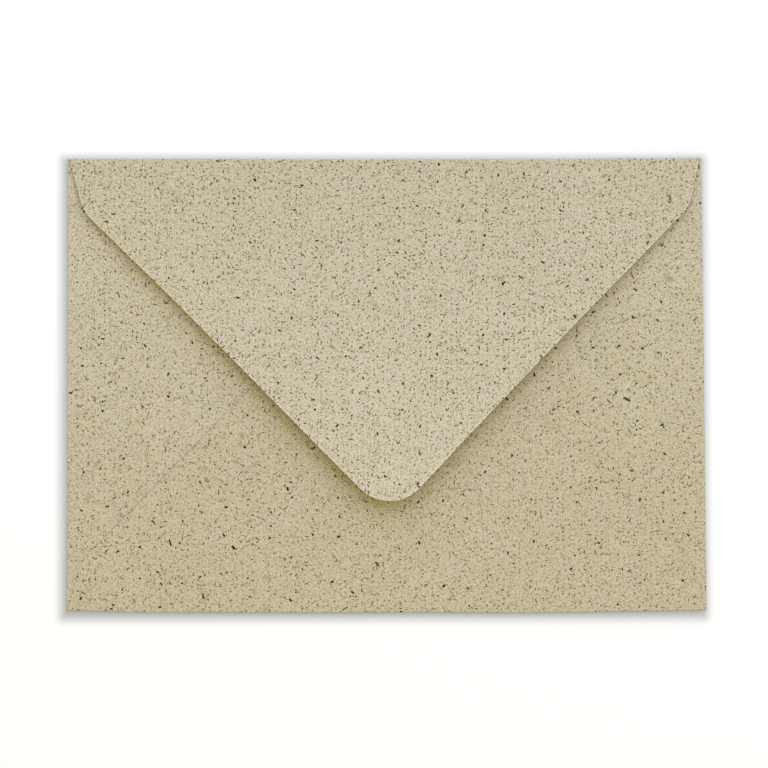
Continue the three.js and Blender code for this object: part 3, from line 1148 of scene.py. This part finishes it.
def floorMaterial():
    material, board = newMaterial("whiteFloor")
    seen = seenByEye(board)
    # a soft painted shadow darkens the white sheet where the envelope lies on it
    x, y, _ = board.parts(board.node("ShaderNodeTexCoord", None, None, out="Object"))
    shade = studioFloor["shade"]
    outX = (x - shade["shift"][0]).by("ABSOLUTE") - halfWidth
    outY = (y - shade["shift"][1]).by("ABSOLUTE") - (halfHeight + shade["taller"])
    inside = outX.by("MAXIMUM", outY).by("MINIMUM", 0.0)
    outX, outY = outX.by("MAXIMUM", 0.0), outY.by("MAXIMUM", 0.0)
    away = (outX * outX + outY * outY).by("SQRT") + inside
    tone = board.mixed(board.eased(away, shade["from"], shade["to"]), shade["tint"], white)
    matte = board.node("ShaderNodeBsdfDiffuse", None, {"Color": board.tinted(studioFloor["matte"], tone)})
    glow = board.node("ShaderNodeEmission", None, {"Color": tone, "Strength": seen * studioFloor["glow"]})
    near = board.node("ShaderNodeAddShader", None, {0: matte, 1: glow})
    far = board.node("ShaderNodeEmission", None, {"Color": white})
    share = board.eased(away, *studioFloor["fade"]) * seen
    both = board.node("ShaderNodeMixShader", None, {0: share, 1: near, 2: far})
    board.node("ShaderNodeOutputMaterial", None, {"Surface": both})
    return material


def makeFloor():
    # a broad white sheet, a shade higher under the envelope than round it
    steps = studioFloor["rings"]
    rings = [(k / steps, -studioFloor["inset"] * (1 - k / steps), 0.0) for k in range(steps + 1)]
    rings += [(1.0, out, down) for out, down in studioFloor["behind"]]
    rings.append((1.0, studioFloor["reach"], studioFloor["behind"][-1][1]))
    corners = []
    for share, out, down in rings:
        z = -studioFloor["under"] - studioFloor["drop"] * share * share * (3 - 2 * share)
        x, y = halfWidth + out, halfHeight + out
        corners += [(-x, -y, z), (x, -y, z), (x, y, z - down), (-x, y, z - down)]
    faces = [(0, 1, 2, 3)]
    for k in range(len(rings) - 1):
        for i in range(4):
            a, b = 4 * k + i, 4 * k + (i + 1) % 4
            faces.append((a, a + 4, b + 4, b))
    mesh = bpy.data.meshes.new("floor")
    mesh.from_pydata(corners, [], faces)
    mesh.shade_smooth()
    floor = bpy.data.objects.new("floor", mesh)
    scene.collection.objects.link(floor)
    mesh.materials.append(floorMaterial())


studio = {
    "ambient": 0.66,
    # the room's light is a little warmer from overhead than from the sides
    "sideTint": (0.80, 0.94, 0.80, 1),
    "overheadTint": (1.10, 0.97, 0.355, 1),
    "keyTint": (0.97, 1.04, 1.99),
    "keyPower": 10.8,
    "keyPlace": (0.25, 0.86, 1.10),
    "keyAim": (0.0, 0.0, 0.0),
    "keySize": (2.2, 1.6),
}


def makeWorld():
    world = bpy.data.worlds.new("studio")
    world.use_nodes = True
    scene.world = world
    world.node_tree.nodes.clear()
    board = Board(world.node_tree)
    seen = seenByEye(board)
    _, _, up = board.parts(board.node("ShaderNodeTexCoord", None, None, out="Generated"))
    tint = board.mixed(up.by("MAXIMUM", 0.0), studio["sideTint"], studio["overheadTint"])
    soft = board.node("ShaderNodeBackground", None, {"Color": tint, "Strength": studio["ambient"]})
    plain = board.node("ShaderNodeBackground", None, {"Color": white})
    both = board.node("ShaderNodeMixShader", None, {0: seen, 1: soft, 2: plain})
    board.node("ShaderNodeOutputWorld", None, {"Surface": both})


def makeLamp():
    lamp = bpy.data.lights.new("softKey", "AREA")
    lamp.shape = "RECTANGLE"
    lamp.size, lamp.size_y = studio["keySize"]
    lamp.energy = studio["keyPower"]
    lamp.color = studio["keyTint"]
    holder = bpy.data.objects.new("softKey", lamp)
    holder.location = studio["keyPlace"]
    toward = Vector(studio["keyAim"]) - Vector(studio["keyPlace"])
    holder.rotation_euler = toward.to_track_quat("-Z", "Y").to_euler()
    scene.collection.objects.link(holder)


photoCamera = {
    "place": (-4.853, -22.52, 598.97),  # millimetres
    "turn": (2.1596, -0.4165, -0.1111),  # degrees
    "lens": 101.627,
    "sensor": 36,
    "clip": (0.01, 20),  # metres
}


def makeCamera():
    data = bpy.data.cameras.new("photoCamera")
    data.sensor_width = photoCamera["sensor"]
    data.lens = photoCamera["lens"]
    data.clip_start, data.clip_end = photoCamera["clip"]
    camera = bpy.data.objects.new("photoCamera", data)
    camera.location = [value * mm for value in photoCamera["place"]]
    camera.rotation_euler = [math.radians(value) for value in photoCamera["turn"]]
    scene.collection.objects.link(camera)
    scene.camera = camera


makeFloor()
makeWorld()
makeLamp()
makeCamera()
scene.view_settings.view_transform = "Standard"
print("floor, light and camera set")

bpy.context.view_layer.update()
